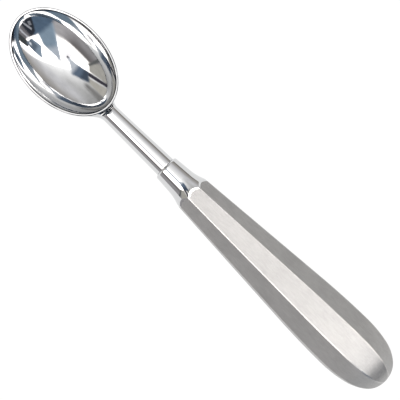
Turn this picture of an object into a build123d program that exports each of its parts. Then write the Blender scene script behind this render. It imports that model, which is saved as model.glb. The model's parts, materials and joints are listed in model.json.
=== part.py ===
from build123d import *
from math import acos, asin, atan, atan2, cos, degrees, pi, radians, sin, sqrt
import os

# Ice-cream scoop of the spoon kind: a polished oval bowl, a polished tapered shank and
# a hollow eight-sided satin handle with a polished ferrule. All steel, nothing moves.
#
# Working frame, in millimetres: X runs along the shank's axis, from the bowl at -X to
# the butt of the handle at +X. Z is up, out of the bowl's mouth. x = 0 is the seam
# where the shank's shoulder meets the ferrule. The last section moves every piece to
# the part's own frame, whose origin is the bottom centre of the whole tool's box.

# ---------------------------------------------------------------- driving dimensions

# Bowl: the lower end of an ellipsoid, pressed from sheet, with a flat rim
BOWL_TIP_X = -87.75
BOWL_LENGTH = 53.7
BOWL_WIDTH = 36.4
BOWL_DEPTH = 12.2
BOWL_WALL = 0.9
ELLIPSOID_RISE = 8.1        # the ellipsoid's middle is this far above the rim
RIM_HEIGHT = 5.4            # of the rim above the shank's axis
RIM_ROUND = 0.2
BOWL_OFFSET = 1.6           # the bowl's middle is this far to +Y of the shank's axis
BOWL_TURN = -0.8            # the bowl's long axis, from the shank's, degrees about Z

# Shank: a round tapered rod
SHANK_ROOT_X = -34.2
SHANK_ROOT_RADIUS = 3.88
SHANK_SEAM_RADIUS = 4.65
SHANK_SHOULDER_ROUND = 0.3
SPIGOT_RADIUS = 3.2
SPIGOT_LENGTH = 4.5
TANG_RADIUS = 2.5           # M5 thread, drawn as its plain outside
TANG_END_X = 16.6
TANG_CHAMFER = 0.5
NOTCH_START_X = -31.5       # where the shank's top starts to round down behind the rim
NOTCH_ROUND = 2.6
NOTCH_LENGTH = 9.0          # under the rim, as far as the bowl's back
NOTCH_WIDTH = 7.0           # between the foot's flared flanks
# The forged foot, which spreads sideways under the rim and runs down the bowl's back:
# (distance past the root, half width, top above the axis, bottom below the axis)
FOOT_START = 4.2            # before the root, where the foot has the rod's own section
FOOT_SECTIONS = [
    (-1.9, 3.97, 3.92, 4.0),
    (0.1, 4.6, 4.2, 4.4),
    (2.1, 6.0, 4.6, 4.7),
    (4.3, 7.5, 4.9, 5.2),
    (7.8, 7.8, 4.9, 5.3),
    (13.3, 5.8, 4.3, 4.4),
]

# Ferrule: a turned nose and barrel, with a thin cup that flares over the handle's neck
FERRULE_START_RADIUS = 5.7
FERRULE_NOSE_ROUND = 1.1
BARREL_END_X = 8.6
BARREL_END_RADIUS = 6.4
FLARE_RADIUS = 19.5         # of the hollow curve from the barrel to the grip
FLARE_END_X = 18.5
CUP_WALL = 0.35
CUP_FLOOR_X = 8.5           # where the ferrule's solid nose ends and its cup begins

GRIP_START_X = 4.5          # the eight sides are begun here, hidden inside the barrel

# Handle: eight sides, growing in a straight taper to a swell. From there each side falls
# in three arcs, every one tighter than the last, to a domed butt.
TAPER_SLOPE = 0.0687        # growth of the apothem per millimetre of length
TAPER_END_X = 80.0
SWELL_X = 105.0
SWELL_APOTHEM = 13.15
SHOULDER_RADIUS = 56.0
SHOULDER_END_ANGLE = 77.2   # of the arc's last radius from the axis, degrees
HIP_RADIUS = 18.8
HIP_END_ANGLE = 51.8
BUTT_FLAT = 0.1             # ground off the point where the eight sides would meet
SIDES = 8
EDGE_ROUND = 0.8            # on the eight long edges
SHELL_WALL = 1.05

# Fasteners that draw the tang into the ferrule
WASHER_RADIUS = 4.5
WASHER_THICKNESS = 1.0
WASHER_CHAMFER = 0.2
LOCK_WASHER_RADIUS = 4.4
LOCK_WASHER_THICKNESS = 1.2
LOCK_WASHER_GAP = 0.9
LOCK_WASHER_SKEW = 20.0     # slant of the split, degrees
NUT_ACROSS_FLATS = 8.0
NUT_HEIGHT = 4.0
NUT_FACE_RADIUS = 3.85      # of the round faces that its corners are turned down to
NUT_TRIM_LENGTH = 0.5
HOLE_CLEARANCE = 0.15       # round the tang, in both washers

BIG = 60.0                  # larger than the tool's section, for cutting tools


# ------------------------------------------------------------------ worked-out values


def arc_point(centre, radius, angle):
    """Point (x, z) of an arc at an angle from the X axis, in degrees."""
    return (centre[0] + radius * cos(radians(angle)), centre[1] + radius * sin(radians(angle)))


# The arcs of the grip's side run into one another without a corner, and the last one's
# centre is on the axis.
TAPER_ANGLE = degrees(atan(TAPER_SLOPE))
SWELL_RADIUS = (SWELL_X - TAPER_END_X) / sin(radians(TAPER_ANGLE))
SWELL_CENTRE = (SWELL_X, SWELL_APOTHEM - SWELL_RADIUS)
SHOULDER_CENTRE = (SWELL_X, SWELL_APOTHEM - SHOULDER_RADIUS)
HIP_CENTRE = arc_point(SHOULDER_CENTRE, SHOULDER_RADIUS - HIP_RADIUS, SHOULDER_END_ANGLE)
BUTT_RADIUS = HIP_RADIUS + HIP_CENTRE[1] / sin(radians(HIP_END_ANGLE))
BUTT_CENTRE = arc_point(HIP_CENTRE, HIP_RADIUS - BUTT_RADIUS, HIP_END_ANGLE)
BUTT_X = BUTT_CENTRE[0] + BUTT_RADIUS
BUTT_END_ANGLE = degrees(acos(1 - BUTT_FLAT / BUTT_RADIUS))

BARREL_ANGLE = atan((BARREL_END_RADIUS - FERRULE_START_RADIUS) / BARREL_END_X)
FLARE_CENTRE = (
    BARREL_END_X - FLARE_RADIUS * sin(BARREL_ANGLE),
    BARREL_END_RADIUS + FLARE_RADIUS * cos(BARREL_ANGLE),
)

BOWL_HALF_LENGTH = BOWL_LENGTH / 2
BOWL_HALF_WIDTH = BOWL_WIDTH / 2
ELLIPSOID_HALF_HEIGHT = BOWL_DEPTH + ELLIPSOID_RISE
RIM_SHARE = sqrt(1 - (ELLIPSOID_RISE / ELLIPSOID_HALF_HEIGHT) ** 2)
BOWL_MIDDLE = (BOWL_TIP_X + BOWL_HALF_LENGTH, BOWL_OFFSET, RIM_HEIGHT)


def shank_radius(x):
    """Radius of the tapered rod at x."""
    growth = (SHANK_SEAM_RADIUS - SHANK_ROOT_RADIUS) / (0 - SHANK_ROOT_X)
    return SHANK_ROOT_RADIUS + growth * (x - SHANK_ROOT_X)


def turned(profile):
    """Solid of revolution about the X axis, from a closed profile in the XZ plane."""
    return revolve(profile, Axis.X, 360)


def outline(points):
    """Closed face in the XZ plane from corner points (x, z)."""
    corners = [(x, 0, z) for x, z in points]
    return make_face(Polyline(*corners, close=True))


# ------------------------------------------------------------------------------- bowl


def ellipsoid_end(inset):
    """The bowl's ellipsoid below the rim, drawn in by inset on every side."""
    size = (
        BOWL_HALF_LENGTH / RIM_SHARE - inset,
        BOWL_HALF_WIDTH / RIM_SHARE - inset,
        ELLIPSOID_HALF_HEIGHT - inset,
    )
    rim_latitude = -degrees(asin(ELLIPSOID_RISE / size[2]))
    level_rim = (Align.CENTER, Align.CENTER, Align.MAX)
    dome = Sphere(1, arc_size1=-90, arc_size2=rim_latitude, align=level_rim)
    return Pos(*BOWL_MIDDLE) * Rot(0, 0, BOWL_TURN) * scale(dome, by=size)


def make_bowl():
    shell = ellipsoid_end(0) - ellipsoid_end(BOWL_WALL)
    rim_edges = shell.edges().group_by(Axis.Z)[-1]
    return fillet(rim_edges, RIM_ROUND)


# ------------------------------------------------------------------------------ shank


def foot_section(x, half_width, top, bottom):
    """Oval section of the shank's foot at x, from top above the axis to bottom below it."""
    middle = Plane((x, 0, (top - bottom) / 2), x_dir=(0, 1, 0), z_dir=(1, 0, 0))
    return middle * Ellipse(half_width, (top + bottom) / 2)


def make_foot():
    start_x = SHANK_ROOT_X + FOOT_START
    radius = shank_radius(start_x)
    sections = [foot_section(start_x, radius, radius, radius)]
    for distance, half_width, top, bottom in FOOT_SECTIONS:
        sections.append(foot_section(SHANK_ROOT_X - distance, half_width, top, bottom))
    return loft(sections)


def heel_notch():
    """Space over the rounded upper end of the shank, behind and under the rim."""
    floor_z = SHANK_ROOT_RADIUS - NOTCH_ROUND
    corner = (Align.MAX, Align.CENTER, Align.MIN)
    space = Box(NOTCH_LENGTH, NOTCH_WIDTH, 2 * RIM_HEIGHT, align=corner)
    end_round = Rot(90, 0, 0) * Cylinder(NOTCH_ROUND, NOTCH_WIDTH)
    return Pos(NOTCH_START_X, 0, floor_z) * (space - end_round)


def make_shank():
    rod_start_x = SHANK_ROOT_X - BOWL_HALF_LENGTH / 3
    rod = turned(
        outline(
            [
                (rod_start_x, 0),
                (rod_start_x, shank_radius(rod_start_x)),
                (0, SHANK_SEAM_RADIUS),
                (0, 0),
            ]
        )
    )
    rod = fillet(rod.edges().group_by(Axis.X)[-1], SHANK_SHOULDER_ROUND)
    tang = turned(
        outline(
            [
                (-1, 0),
                (-1, SPIGOT_RADIUS),
                (SPIGOT_LENGTH, SPIGOT_RADIUS),
                (SPIGOT_LENGTH, TANG_RADIUS),
                (TANG_END_X - TANG_CHAMFER, TANG_RADIUS),
                (TANG_END_X, TANG_RADIUS - TANG_CHAMFER),
                (TANG_END_X, 0),
            ]
        )
    )
    return rod + make_foot() + tang - heel_notch() - ellipsoid_end(0)


# ----------------------------------------------------------------------------- handle


def flare_face(inset, start_x):
    """Everything inside the ferrule's flare, drawn in by inset, behind start_x."""
    radius = FLARE_RADIUS + inset
    centre_x, centre_z = FLARE_CENTRE
    start_z = centre_z - sqrt(radius**2 - (start_x - centre_x) ** 2)
    end_z = centre_z - sqrt(radius**2 - (FLARE_END_X - centre_x) ** 2)
    middle_x = (start_x + FLARE_END_X) / 2
    middle_z = centre_z - sqrt(radius**2 - (middle_x - centre_x) ** 2)
    flare = ThreePointArc((start_x, 0, start_z), (middle_x, 0, middle_z), (FLARE_END_X, 0, end_z))
    rest = Polyline(
        (FLARE_END_X, 0, end_z),
        (FLARE_END_X, 0, BIG),
        (BUTT_X + 1, 0, BIG),
        (BUTT_X + 1, 0, 0),
        (start_x, 0, 0),
        (start_x, 0, start_z),
    )
    return make_face([flare, rest])


def side_curve(inset):
    """Half outline of the grip, from its start to the butt's flat, drawn in by inset."""
    taper_end = arc_point(SWELL_CENTRE, SWELL_RADIUS - inset, 90 + TAPER_ANGLE)
    taper_rise = TAPER_SLOPE * (taper_end[0] - GRIP_START_X)
    taper_start = (GRIP_START_X, taper_end[1] - taper_rise)

    def arc(centre, radius, first, last):
        angles = (first, (first + last) / 2, last)
        places = [arc_point(centre, radius, angle) for angle in angles]
        return ThreePointArc(*[(x, 0, z) for x, z in places])

    return [
        Line((taper_start[0], 0, taper_start[1]), (taper_end[0], 0, taper_end[1])),
        arc(SWELL_CENTRE, SWELL_RADIUS - inset, 90 + TAPER_ANGLE, 90),
        arc(SHOULDER_CENTRE, SHOULDER_RADIUS - inset, 90, SHOULDER_END_ANGLE),
        arc(HIP_CENTRE, HIP_RADIUS - inset, SHOULDER_END_ANGLE, HIP_END_ANGLE),
        arc(BUTT_CENTRE, BUTT_RADIUS - inset, HIP_END_ANGLE, BUTT_END_ANGLE),
    ]


def grip_body(inset):
    """Eight-sided swelled body, drawn in by inset."""
    curve = side_curve(inset)
    front = curve[0] @ 0
    end = curve[-1] @ 1
    close = Polyline(end, (end.X, 0, 0), (front.X, 0, 0), front)
    half_slab = extrude(make_face(curve + [close]), BIG, both=True)
    slab = (half_slab + Rot(180, 0, 0) * half_slab).clean()
    body = slab
    for side in range(1, SIDES // 2):
        body = body & Rot(360 / SIDES * side, 0, 0) * slab
    return body


def is_long_edge(edge):
    """True for an edge between two sides, which lies midway between their directions."""
    middle = edge @ 0.5
    pitch = 360 / SIDES
    past_side = degrees(atan2(middle.Z, middle.Y)) % pitch
    length_in_x = abs((edge @ 1).X - (edge @ 0).X)
    return length_in_x > BUTT_FLAT and abs(past_side - pitch / 2) < 1


def make_grip():
    """Outside of the ferrule's flare and the handle together."""
    body = grip_body(0)
    return fillet(body.edges().filter_by(is_long_edge), EDGE_ROUND)


def make_ferrule(grip):
    nose_corner = (0, 0, FERRULE_START_RADIUS)
    barrel_end = (BARREL_END_X, 0, BARREL_END_RADIUS)
    nose_face = make_face(
        Polyline((0, 0, 0), nose_corner, barrel_end, (BARREL_END_X, 0, 0), close=True)
    )
    nose = turned(nose_face)
    nose = fillet(nose.edges().group_by(Axis.X)[0], FERRULE_NOSE_ROUND)
    flare = turned(flare_face(0, BARREL_END_X)) & grip
    inside = turned(flare_face(CUP_WALL, CUP_FLOOR_X))
    tang_hole = turned(
        outline(
            [
                (-1, 0),
                (-1, SPIGOT_RADIUS),
                (SPIGOT_LENGTH, SPIGOT_RADIUS),
                (SPIGOT_LENGTH, TANG_RADIUS),
                (CUP_FLOOR_X + 1, TANG_RADIUS),
                (CUP_FLOOR_X + 1, 0),
            ]
        )
    )
    return nose + flare - inside - tang_hole


def make_handle_shells(grip):
    skin = turned(flare_face(CUP_WALL, CUP_FLOOR_X)) & grip
    cavity = turned(flare_face(CUP_WALL + SHELL_WALL, CUP_FLOOR_X - 1)) & grip_body(SHELL_WALL)
    wall = skin - cavity
    upper_half = Pos(BUTT_X / 2, 0, BIG / 2) * Box(2 * BUTT_X, BIG, BIG)
    return wall & upper_half, wall - upper_half


# -------------------------------------------------------------------------- fasteners


def ring(radius, hole_radius, start_x, thickness):
    face = outline(
        [
            (start_x, hole_radius),
            (start_x, radius),
            (start_x + thickness, radius),
            (start_x + thickness, hole_radius),
        ]
    )
    return turned(face)


def make_washer(start_x):
    washer = ring(WASHER_RADIUS, TANG_RADIUS + HOLE_CLEARANCE, start_x, WASHER_THICKNESS)
    outer_edge = washer.edges().group_by(Axis.X)[-1].sort_by(Edge.radius)[-1]
    return chamfer(outer_edge, WASHER_CHAMFER)


def make_lock_washer(start_x):
    """Spring washer, shown flattened, with its slanting split at the top."""
    washer = ring(LOCK_WASHER_RADIUS, TANG_RADIUS + HOLE_CLEARANCE, start_x, LOCK_WASHER_THICKNESS)
    split = Box(4 * LOCK_WASHER_THICKNESS, LOCK_WASHER_GAP, 2 * LOCK_WASHER_RADIUS)
    middle = Pos(start_x + LOCK_WASHER_THICKNESS / 2, 0, LOCK_WASHER_RADIUS)
    return washer - middle * Rot(0, 0, LOCK_WASHER_SKEW) * split


def make_nut(start_x):
    corner_radius = NUT_ACROSS_FLATS / 2 / cos(pi / 6)
    end_x = start_x + NUT_HEIGHT
    hexagon = Plane.YZ.offset(start_x) * RegularPolygon(corner_radius, 6)
    turned_skin = turned(
        outline(
            [
                (start_x, 0),
                (start_x, NUT_FACE_RADIUS),
                (start_x + NUT_TRIM_LENGTH, corner_radius),
                (end_x - NUT_TRIM_LENGTH, corner_radius),
                (end_x, NUT_FACE_RADIUS),
                (end_x, 0),
            ]
        )
    )
    bore = ring(TANG_RADIUS, 0, start_x, NUT_HEIGHT)
    return (extrude(hexagon, NUT_HEIGHT) & turned_skin) - bore


# --------------------------------------------------------------------------- assembly


def build_pieces():
    grip = make_grip()
    upper_shell, lower_shell = make_handle_shells(grip)
    lock_washer_x = CUP_FLOOR_X + WASHER_THICKNESS
    nut_x = lock_washer_x + LOCK_WASHER_THICKNESS
    return {
        "bowl": make_bowl(),
        "shank": make_shank(),
        "ferrule": make_ferrule(grip),
        "handle_upper_shell": upper_shell,
        "handle_lower_shell": lower_shell,
        "tang_washer": make_washer(CUP_FLOOR_X),
        "tang_lock_washer": make_lock_washer(lock_washer_x),
        "tang_nut": make_nut(nut_x),
    }


# Place the tool: the middle of its length at x = 0, the bowl's middle at y = 0 because
# the bowl is its widest piece, and the lowest side of the handle at z = 0.
PLACE = Pos(-(BOWL_TIP_X + BUTT_X - BUTT_FLAT) / 2, -BOWL_OFFSET, SWELL_APOTHEM)

os.makedirs("parts", exist_ok=True)
for node, piece in build_pieces().items():
    export_step(PLACE * piece, f"parts/{node}.step")
    print(node, round(piece.volume, 1))
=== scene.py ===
import json
import math

import bpy
from mathutils import Matrix, Vector


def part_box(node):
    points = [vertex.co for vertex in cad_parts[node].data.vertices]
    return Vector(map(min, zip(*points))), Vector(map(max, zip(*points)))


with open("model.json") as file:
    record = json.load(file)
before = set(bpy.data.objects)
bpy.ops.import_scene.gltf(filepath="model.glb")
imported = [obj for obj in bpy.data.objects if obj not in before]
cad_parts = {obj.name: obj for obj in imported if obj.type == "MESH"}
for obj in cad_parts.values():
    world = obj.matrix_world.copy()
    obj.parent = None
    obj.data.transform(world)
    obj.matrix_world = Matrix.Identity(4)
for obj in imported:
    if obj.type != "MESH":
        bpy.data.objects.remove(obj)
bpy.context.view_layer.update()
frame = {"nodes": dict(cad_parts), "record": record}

MM = 0.001

# ------------------------------------------------------------- places on the object

SHELL_LOW, SHELL_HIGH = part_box("handle_upper_shell")
AXIS_Y = (SHELL_LOW.y + SHELL_HIGH.y) / 2      # the tool's own axis
AXIS_Z = SHELL_LOW.z
HALF_FACET = math.pi / 8                       # half of one of the handle's eight sides
EDGE_OUTER = 0.45 * MM                         # the handle's edges carry a painted highlight and are rubbed smoother this far,
EDGE_INNER = 0.1 * MM                          # and fully so within this
RIM_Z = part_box("bowl")[1].z
BOWL_TURN = math.radians(-0.8)                 # of the bowl about Z
RIM_WIDTH = 1.0 * MM
RIM_LINE = 0.36 * MM                           # width of the painted dark reflection line along each rim edge
RIM_LINE_TOP = RIM_Z - 0.8 * MM                # the lines fade out between these heights
RIM_LINE_BOTTOM = RIM_Z - 1.2 * MM

# ---------------------------------------------------------------------------- finishes

MIRROR_COLOUR = (0.68, 0.685, 0.69)
MIRROR_DULL = 0.95                             # share of the colour left in duller patches
MIRROR_ROUGHNESS = 0.045
MIRROR_BUMP = 0.004 * MM
# colour of the painted dark reflection lines along the rim
RIM_REFLECTION_COLOUR = (0.06, 0.065, 0.075, 1)
SATIN_DARK = (0.345, 0.342, 0.338, 1)
SATIN_LIGHT = (0.435, 0.431, 0.426, 1)
SATIN_ROUGHNESS = 0.46
SATIN_BUMP = 0.012 * MM
# painted highlight along the handle's edges, standing in for light caught by their rounding
EDGE_HIGHLIGHT_COLOUR = (0.66, 0.65, 0.64, 1)
EDGE_HIGHLIGHT_SHARE = 0.45                            # of this painted highlight colour where an edge is fully covered
RUBBED_ROUGHNESS_CHANGE = -0.10
FASTENER_DARK = (0.50, 0.50, 0.51, 1)
FASTENER_LIGHT = (0.60, 0.60, 0.61, 1)
FASTENER_ROUGHNESS = 0.3
FASTENER_BUMP = 0.01 * MM

# ----------------------------------------------------------------------------- studio

FLOOR_RADIUS = 3.0
FLOOR_CORNERS = 64
FLOOR_COLOUR = (0.03, 0.03, 0.03, 1)
FLOOR_GLOW = 0.99
BACKDROP = 0.97
OVERHEAD = 6.1
OVERHEAD_TINT = (1.05, 1.0, 0.96)
UNEVENNESS = 0.45                              # of the studio's light, from place to place
UNEVENNESS_SCALE = 7
# The sky greys along this direction of the chart: (end of each step, tone there)
FALL_DIRECTION = (-0.79, 0.61, 0.0)
FALL_START = 0.05
FALL = [(0.12, 253), (0.20, 228), (0.30, 202), (0.42, 180), (0.55, 166), (0.90, 150)]
# Cards on the sky chart, each hanging in front of those before it:
# (what it stands for, convex corners, edge softness, tone in mirror steel)
CARDS = [
    ("north wall", [(-0.5, 0.30), (0.04, 0.32), (0.42, 0.49), (1.2, 1.1), (0, 1.8), (-1.2, 1.2)],
     0.30, (196, 196, 199)),
    ("north low", [(-1.2, 0.56), (0.42, 0.56), (1.2, 1.1), (0.2, 1.8), (-1.2, 1.8)],
     0.36, (148, 145, 142)),
    ("north gap", [(-1.2, 0.82), (-1.2, 0.95), (0.4, 0.95), (0.4, 0.82)],
     0.06, (112, 108, 104)),
    ("south wall", [(-1.5, -0.40), (-1.5, -1.6), (1.5, -1.6), (1.5, -0.40)],
     0.14, (108, 105, 106)),
    ("south low", [(-1.2, -0.60), (-1.2, -1.6), (0.8, -1.6), (0.45, -0.60)],
     0.20, (140, 138, 140)),
    ("south light", [(0.10, -0.30), (0.18, -1.2), (0.62, -1.2), (0.40, -0.30)],
     0.26, (166, 164, 166)),
    ("overhead scrim", [(-0.06, -0.02), (-0.06, 0.09), (0.05, 0.09), (0.05, -0.02)],
     0.03, (262, 261, 260)),
    ("south scrim", [(-0.06, -0.08), (-0.06, -0.26), (0.03, -0.26), (0.03, -0.08)],
     0.03, (258, 256, 258)),
    ("south rod", [(-0.04, -0.125), (-0.04, -0.17), (-0.008, -0.17), (-0.008, -0.125)],
     0.02, (60, 54, 66)),
    ("west wall", [(-0.37, 0.07), (-1.5, 0.30), (-1.5, -0.08), (-0.36, -0.03)],
     0.12, (124, 123, 122)),
    ("west light", [(-0.33, -0.06), (-1.5, -0.05), (-1.5, -0.6), (-0.3, -0.13)],
     0.05, (168, 165, 158)),
    ("south-west wall", [(-0.30, -0.26), (-1.4, -0.75), (-0.9, -1.3), (-0.24, -0.42)],
     0.06, (160, 158, 152)),
    ("south-west gap", [(-0.28, -0.38), (-0.60, -1.2), (-0.50, -1.2), (-0.24, -0.36)],
     0.04, (90, 92, 92)),
    ("boom", [(-0.28, -0.15), (-0.90, -0.41), (-0.90, -0.50), (-0.27, -0.235)],
     0.03, (58, 56, 64)),
    ("west diffuser", [(-0.19, 0.08), (-0.20, -0.20), (-0.03, -0.165), (-0.03, -0.12)],
     0.05, (186, 192, 200)),
    ("west card", [(-0.165, 0.07), (-0.395, -0.07), (-0.29, -0.245), (-0.16, -0.20)],
     0.06, (92, 106, 124)),
    ("west card core", [(-0.26, 0), (-0.40, -0.08), (-0.29, -0.245), (-0.24, -0.22)],
     0.07, (66, 76, 90)),
    ("east diffuser", [(0.015, 0.035), (0.27, 0.05), (0.5, -0.12), (0.62, -0.62),
                       (0.42, -0.60), (0.02, -0.03)],
     0.04, (176, 184, 194)),
    ("east card", [(0.20, 0.06), (0.28, 0.05), (0.5, -0.10), (0.62, -0.66),
                   (0.42, -0.60), (0.13, -0.18)],
     0.10, (126, 144, 160)),
    ("east low", [(0.50, 0.18), (0.42, 0.08), (0.33, -0.30), (0.42, -0.60), (0.44, -1.1),
                  (1.4, -1.1), (1.4, 0.18)],
     0.12, (80, 98, 118)),
    ("east far", [(0.50, 0.22), (0.46, 0.10), (0.50, -0.05), (0.75, -0.24), (1.3, -0.5),
                  (1.3, 0.30)],
     0.06, (44, 48, 56)),
    ("east stand", [(0.56, 0.02), (0.60, -0.03), (1.2, 0.13), (1.2, 0.18)],
     0.03, (150, 152, 158)),
    ("east window", [(0.66, -0.10), (0.80, -0.16), (0.84, -0.08), (0.70, -0.02)],
     0.03, (126, 128, 134)),
    ("north-east wall", [(0.50, 0.42), (0.50, 0.16), (1.3, 0.22), (1.3, 1.0)],
     0.10, (112, 110, 114)),
    ("north-east stand", [(0.50, 0.26), (0.52, 0.22), (1.2, 0.42), (1.2, 0.50)],
     0.03, (176, 178, 184)),
    ("north-east gap", [(0.40, 0.44), (0.44, 0.30), (0.9, 0.52), (0.75, 0.68)],
     0.04, (62, 66, 68)),
    ("north-east card", [(0.15, 0.31), (0.265, 0.10), (0.46, 0.17), (0.47, 0.38), (0.30, 0.37)],
     0.03, (128, 143, 158)),
    ("north-east core", [(0.28, 0.36), (0.30, 0.18), (0.47, 0.22), (0.47, 0.40)],
     0.06, (92, 104, 118)),
    ("lamp", [(0.37, 0.31), (0.41, 0.27), (0.45, 0.30), (0.42, 0.34)],
     0.04, (225, 230, 235)),
]


# ------------------------------------------------------------------- node shorthand


class Nodes:
    """Small helper for building a shader tree: each call adds a node and returns its output."""

    def __init__(self, tree):
        self.tree = tree
        tree.nodes.clear()

    def add(self, kind, **settings):
        node = self.tree.nodes.new(kind)
        for name, value in settings.items():
            setattr(node, name, value)
        return node

    def feed(self, socket, value):
        if isinstance(value, bpy.types.NodeSocket):
            self.tree.links.new(value, socket)
        else:
            socket.default_value = value

    def math(self, operation, *values):
        node = self.add("ShaderNodeMath", operation=operation)
        for socket, value in zip(node.inputs, values):
            self.feed(socket, value)
        return node.outputs[0]

    def length(self, first, second):
        """Length of the vector (first, second)."""
        square = self.math("MULTIPLY_ADD", first, first, self.math("MULTIPLY", second, second))
        return self.math("SQRT", square)

    def dot(self, place, vector):
        node = self.add("ShaderNodeVectorMath", operation="DOT_PRODUCT")
        self.feed(node.inputs[0], place)
        self.feed(node.inputs[1], vector)
        return node.outputs["Value"]

    def offset(self, place, start):
        """The vector from start to place."""
        node = self.add("ShaderNodeVectorMath", operation="SUBTRACT")
        self.feed(node.inputs[0], place)
        self.feed(node.inputs[1], start)
        return node.outputs[0]

    def split(self, vector):
        node = self.add("ShaderNodeSeparateXYZ")
        self.feed(node.inputs[0], vector)
        return node.outputs

    def ramp(self, value, start, end, low=0.0, high=1.0, kind="SMOOTHSTEP"):
        """Step of value from low, at start, to high, at end."""
        node = self.add("ShaderNodeMapRange", interpolation_type=kind)
        for socket, number in zip(node.inputs, (value, start, end, low, high)):
            self.feed(socket, number)
        return node.outputs[0]

    def mix(self, factor, first, second):
        node = self.add("ShaderNodeMix", data_type="RGBA")
        self.feed(node.inputs["Factor"], factor)
        self.feed(node.inputs[6], first)
        self.feed(node.inputs[7], second)
        return node.outputs[2]

    def noise(self, vector, scale, detail=2.0, roughness=0.5, stretch=(1, 1, 1)):
        """Noise in -0.5 to 0.5, with features about 1 / (scale * stretch) across."""
        mapping = self.add("ShaderNodeMapping")
        mapping.inputs["Scale"].default_value = [scale * part for part in stretch]
        self.feed(mapping.inputs["Vector"], vector)
        node = self.add("ShaderNodeTexNoise")
        node.inputs["Scale"].default_value = 1.0
        node.inputs["Detail"].default_value = detail
        node.inputs["Roughness"].default_value = roughness
        self.feed(node.inputs["Vector"], mapping.outputs[0])
        return self.math("SUBTRACT", node.outputs["Fac"], 0.5)


# ------------------------------------------------------------------------ materials


def new_material(name):
    material = bpy.data.materials.new(name)
    material.use_nodes = True
    return material, Nodes(material.node_tree)


def finish_metal(nodes, colour, roughness, height, distance):
    """Metal shader fed by a colour, a roughness and a bump height."""
    shader = nodes.add("ShaderNodeBsdfPrincipled")
    shader.inputs["Metallic"].default_value = 1.0
    nodes.feed(shader.inputs["Base Color"], colour)
    nodes.feed(shader.inputs["Roughness"], roughness)
    bump = nodes.add("ShaderNodeBump")
    bump.inputs["Strength"].default_value = 1.0
    bump.inputs["Distance"].default_value = distance
    nodes.feed(bump.inputs["Height"], height)
    nodes.feed(shader.inputs["Normal"], bump.outputs[0])
    output = nodes.add("ShaderNodeOutputMaterial")
    nodes.feed(output.inputs["Surface"], shader.outputs[0])


def mirror_finish(nodes, place):
    """Colour, roughness and height of mirror-polished steel: hairlines and a soft orange peel."""
    hairlines = nodes.noise(place, 900, detail=3, stretch=(0.25, 4.0, 4.0))
    peel = nodes.noise(place, 120, detail=1)
    clouds = nodes.noise(place, 60, detail=2)
    height = nodes.math("MULTIPLY_ADD", hairlines, 0.25, nodes.math("MULTIPLY", peel, 1.4))
    rough = nodes.math("MULTIPLY_ADD", clouds, 0.03, MIRROR_ROUGHNESS)
    dull = [share * MIRROR_DULL for share in MIRROR_COLOUR]
    colour = nodes.mix(nodes.ramp(clouds, -0.2, 0.2), (*dull, 1), (*MIRROR_COLOUR, 1))
    return colour, rough, height


def mirror_steel():
    material, nodes = new_material("mirror_steel_look")
    place = nodes.add("ShaderNodeTexCoord").outputs["Object"]
    colour, rough, height = mirror_finish(nodes, place)
    finish_metal(nodes, colour, rough, height, MIRROR_BUMP)
    return material


def rim_distance(nodes, place):
    """How far inside the bowl's outer edge a point lies, seen from above, in metres."""
    low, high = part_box("bowl")
    half_length = (high.x - low.x) / 2
    half_width = (high.y - low.y) / 2
    offset = nodes.offset(place, (low + high) / 2)
    cosine, sine = math.cos(BOWL_TURN), math.sin(BOWL_TURN)
    along = nodes.dot(offset, (cosine / half_length, sine / half_length, 0))
    across = nodes.dot(offset, (-sine / half_width, cosine / half_width, 0))
    radius = nodes.length(along, across)
    slope = nodes.length(
        nodes.math("DIVIDE", along, half_length), nodes.math("DIVIDE", across, half_width)
    )
    inside = nodes.math("MULTIPLY", nodes.math("SUBTRACT", 1.0, radius), radius)
    return nodes.math("DIVIDE", inside, slope)


def bowl_steel():
    """Mirror steel with dark lines painted along both edges of the ground rim, a painted
    reflection of the rim's edges.
    """
    material, nodes = new_material("bowl_steel_look")
    place = nodes.add("ShaderNodeTexCoord").outputs["Object"]
    colour, rough, height = mirror_finish(nodes, place)
    distance = rim_distance(nodes, place)
    # painted dark reflection lines along the rim's outer and inner edges
    outer = nodes.ramp(distance, RIM_LINE * 1.3, RIM_LINE * 0.7)
    inner = nodes.math(
        "MULTIPLY",
        nodes.ramp(distance, RIM_WIDTH - RIM_LINE, RIM_WIDTH - RIM_LINE * 0.6),
        nodes.ramp(distance, RIM_WIDTH + RIM_LINE, RIM_WIDTH + RIM_LINE * 0.6),
    )
    # the painted reflection lines are broken up in patches
    line_breakup = nodes.ramp(nodes.noise(place, 250, detail=2), -0.25, 0.1, 0.65, 0.95)
    line = nodes.math("MULTIPLY", nodes.math("MAXIMUM", outer, inner), line_breakup)
    upper = nodes.ramp(nodes.split(place)[2], RIM_LINE_BOTTOM, RIM_LINE_TOP)
    line = nodes.math("MULTIPLY", line, upper)
    colour = nodes.mix(line, colour, RIM_REFLECTION_COLOUR)
    finish_metal(nodes, colour, rough, height, MIRROR_BUMP)
    return material


def edge_distance(nodes, place):
    """How far round the handle a point lies from the nearest of its eight edges, in metres."""
    _, side, up = nodes.split(nodes.offset(place, (0, AXIS_Y, AXIS_Z)))
    from_middle = nodes.math("PINGPONG", nodes.math("ARCTAN2", side, up), HALF_FACET)
    to_edge = nodes.math("SUBTRACT", HALF_FACET, from_middle)
    return nodes.math("MULTIPLY", to_edge, nodes.length(side, up))


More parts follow.
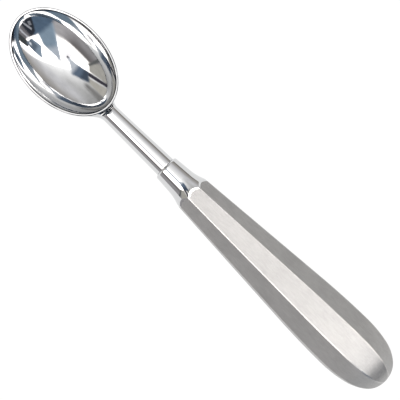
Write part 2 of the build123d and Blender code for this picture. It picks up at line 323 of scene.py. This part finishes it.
def satin_steel():
    """Satin steel: blasted grain and lengthwise brushing, cloudy, with its edges rubbed smoother
    and painted lighter as a painted highlight.
    """
    material, nodes = new_material("satin_steel_look")
    place = nodes.add("ShaderNodeTexCoord").outputs["Object"]
    grain = nodes.noise(place, 2600, detail=3, roughness=0.7)
    brushing = nodes.noise(place, 2200, detail=2, stretch=(0.12, 1, 1))
    clouds = nodes.noise(place, 120, detail=3)
    height = nodes.math("ADD", grain, brushing)
    tone = nodes.math("MULTIPLY_ADD", clouds, 0.5, nodes.math("MULTIPLY", height, 0.6))
    colour = nodes.mix(nodes.ramp(tone, -0.3, 0.3), SATIN_DARK, SATIN_LIGHT)
    # painted highlight along the eight edges, which are also made smoother as if rubbed
    rubbed_and_highlit = nodes.ramp(edge_distance(nodes, place), EDGE_OUTER, EDGE_INNER)
    colour = nodes.mix(nodes.math("MULTIPLY", rubbed_and_highlit, EDGE_HIGHLIGHT_SHARE), colour, EDGE_HIGHLIGHT_COLOUR)
    rough = nodes.math("MULTIPLY_ADD", clouds, 0.06, SATIN_ROUGHNESS)
    rough = nodes.math("MULTIPLY_ADD", rubbed_and_highlit, RUBBED_ROUGHNESS_CHANGE, rough)
    finish_metal(nodes, colour, rough, height, SATIN_BUMP)
    return material


def fastener_steel():
    """Plain machined steel for the nut and washers inside the handle."""
    material, nodes = new_material("fastener_steel_look")
    place = nodes.add("ShaderNodeTexCoord").outputs["Object"]
    marks = nodes.noise(place, 3000, detail=2, stretch=(4, 1, 1))
    rough = nodes.math("MULTIPLY_ADD", marks, 0.1, FASTENER_ROUGHNESS)
    colour = nodes.mix(nodes.ramp(marks, -0.3, 0.3), FASTENER_DARK, FASTENER_LIGHT)
    finish_metal(nodes, colour, rough, marks, FASTENER_BUMP)
    return material


LOOKS = {
    "mirror_steel": mirror_steel(),
    "satin_steel": satin_steel(),
    "fastener_steel": fastener_steel(),
}
for part in frame["record"]["subparts"]:
    for place in frame["nodes"][part["node"]].material_slots:
        place.material = LOOKS[part["material_slot"]]
for place in frame["nodes"]["bowl"].material_slots:
    place.material = bowl_steel()


# ---------------------------------------------------------------- floor and lighting


def make_floor():
    """A plain white floor: an evenly glowing disc, so that no shade shows on it."""
    mesh = bpy.data.meshes.new("floor")
    turns = [math.tau * step / FLOOR_CORNERS for step in range(FLOOR_CORNERS)]
    corners = [(FLOOR_RADIUS * math.cos(turn), FLOOR_RADIUS * math.sin(turn), 0) for turn in turns]
    mesh.from_pydata(corners, [], [range(FLOOR_CORNERS)])
    floor = bpy.data.objects.new("floor", mesh)
    bpy.context.scene.collection.objects.link(floor)
    material, nodes = new_material("floor_look")
    shader = nodes.add("ShaderNodeBsdfPrincipled")
    shader.inputs["Base Color"].default_value = FLOOR_COLOUR
    shader.inputs["Roughness"].default_value = 0.9
    shader.inputs["Specular IOR Level"].default_value = 0.0
    shader.inputs["Emission Color"].default_value = (1, 1, 1, 1)
    shader.inputs["Emission Strength"].default_value = FLOOR_GLOW
    output = nodes.add("ShaderNodeOutputMaterial")
    nodes.feed(output.inputs["Surface"], shader.outputs[0])
    floor.data.materials.append(material)


def radiance(tone):
    """Light that a mirror-steel surface shows as this 8-bit sRGB tone."""
    linear = [((value / 255 + 0.055) / 1.055) ** 2.4 for value in tone]
    return [value / share for value, share in zip(linear, MIRROR_COLOUR)]


def card_mask(nodes, place, corners, softness):
    """1 inside a convex card with these corners, 0 outside, over a soft edge."""
    signed_area = sum(
        x0 * y1 - x1 * y0 for (x0, y0), (x1, y1) in zip(corners, corners[1:] + corners[:1])
    )
    if signed_area < 0:
        corners = corners[::-1]
    mask = 1.0
    for (x0, y0), (x1, y1) in zip(corners, corners[1:] + corners[:1]):
        length = math.hypot(x1 - x0, y1 - y0)
        inward = ((y0 - y1) / length, (x1 - x0) / length)
        offset = -(x0 * inward[0] + y0 * inward[1])
        distance = nodes.dot(place, (inward[0], inward[1], offset))
        inside = nodes.ramp(distance, -softness / 2, softness / 2)
        mask = nodes.math("MULTIPLY", mask, inside)
    return mask


def light_studio():
    """A bright overhead light that greys towards the horizon, with cards hung round it."""
    world = bpy.data.worlds.new("studio")
    world.use_nodes = True
    bpy.context.scene.world = world
    nodes = Nodes(world.node_tree)
    direction = nodes.add("ShaderNodeTexCoord").outputs["Generated"]
    east, north, up = nodes.split(direction)
    # sky chart: (0, 0) overhead, distance 1 at the horizon
    depth = nodes.math("ADD", nodes.math("MAXIMUM", up, 0.0), 1.0)
    chart = nodes.add("ShaderNodeCombineXYZ")
    nodes.feed(chart.inputs[0], nodes.math("DIVIDE", east, depth))
    nodes.feed(chart.inputs[1], nodes.math("DIVIDE", north, depth))
    nodes.feed(chart.inputs[2], 1.0)
    place = chart.outputs[0]

    across = nodes.dot(place, FALL_DIRECTION)
    light = (*[OVERHEAD * share for share in OVERHEAD_TINT], 1)
    start = FALL_START
    for end, tone in FALL:
        share = nodes.ramp(across, start, end, kind="LINEAR")
        light = nodes.mix(share, light, (*radiance((tone, tone, tone)), 1))
        start = end
    for _, corners, softness, tone in CARDS:
        mask = card_mask(nodes, place, corners, softness)
        light = nodes.mix(mask, light, (*radiance(tone), 1))

    patches = nodes.noise(place, UNEVENNESS_SCALE, detail=4)
    unevenness = nodes.math("MULTIPLY_ADD", patches, UNEVENNESS, 1.0)
    background = nodes.add("ShaderNodeBackground")
    nodes.feed(background.inputs["Color"], light)
    nodes.feed(background.inputs["Strength"], unevenness)
    backdrop = nodes.add("ShaderNodeBackground")
    backdrop.inputs["Color"].default_value = (BACKDROP, BACKDROP, BACKDROP, 1)
    pick = nodes.add("ShaderNodeMixShader")
    nodes.feed(pick.inputs[0], nodes.add("ShaderNodeLightPath").outputs["Is Camera Ray"])
    nodes.feed(pick.inputs[1], background.outputs[0])
    nodes.feed(pick.inputs[2], backdrop.outputs[0])
    output = nodes.add("ShaderNodeOutputWorld")
    nodes.feed(output.inputs["Surface"], pick.outputs[0])


# --------------------------------------------------------------------------- camera

CAMERA_ROLL = math.radians(4.0)                # the camera leans to the tool's -Y side
CAMERA_TURN = math.radians(44.2)               # the tool runs down to the right
CAMERA_DISTANCE = 0.8
CAMERA_WIDTH = 0.168                           # of the picture, at the tool's axis
CAMERA_TARGET = Vector((-0.42 * MM, AXIS_Y + 0.25 * MM, AXIS_Z))
SENSOR_WIDTH = 36.0


def make_camera():
    data = bpy.data.cameras.new("camera")
    data.sensor_width = SENSOR_WIDTH
    data.lens = SENSOR_WIDTH * CAMERA_DISTANCE / CAMERA_WIDTH
    camera = bpy.data.objects.new("camera", data)
    bpy.context.scene.collection.objects.link(camera)
    back = Vector((0, -math.sin(CAMERA_ROLL), math.cos(CAMERA_ROLL)))
    across = Vector((0, math.cos(CAMERA_ROLL), math.sin(CAMERA_ROLL)))
    along = Vector((1, 0, 0))
    right = math.cos(CAMERA_TURN) * along + math.sin(CAMERA_TURN) * across
    up = math.cos(CAMERA_TURN) * across - math.sin(CAMERA_TURN) * along
    place = Matrix((right, up, back)).transposed().to_4x4()
    place.translation = CAMERA_TARGET + back * CAMERA_DISTANCE
    camera.matrix_world = place
    bpy.context.scene.camera = camera


make_floor()
light_studio()
make_camera()
bpy.context.scene.view_settings.view_transform = "Standard"
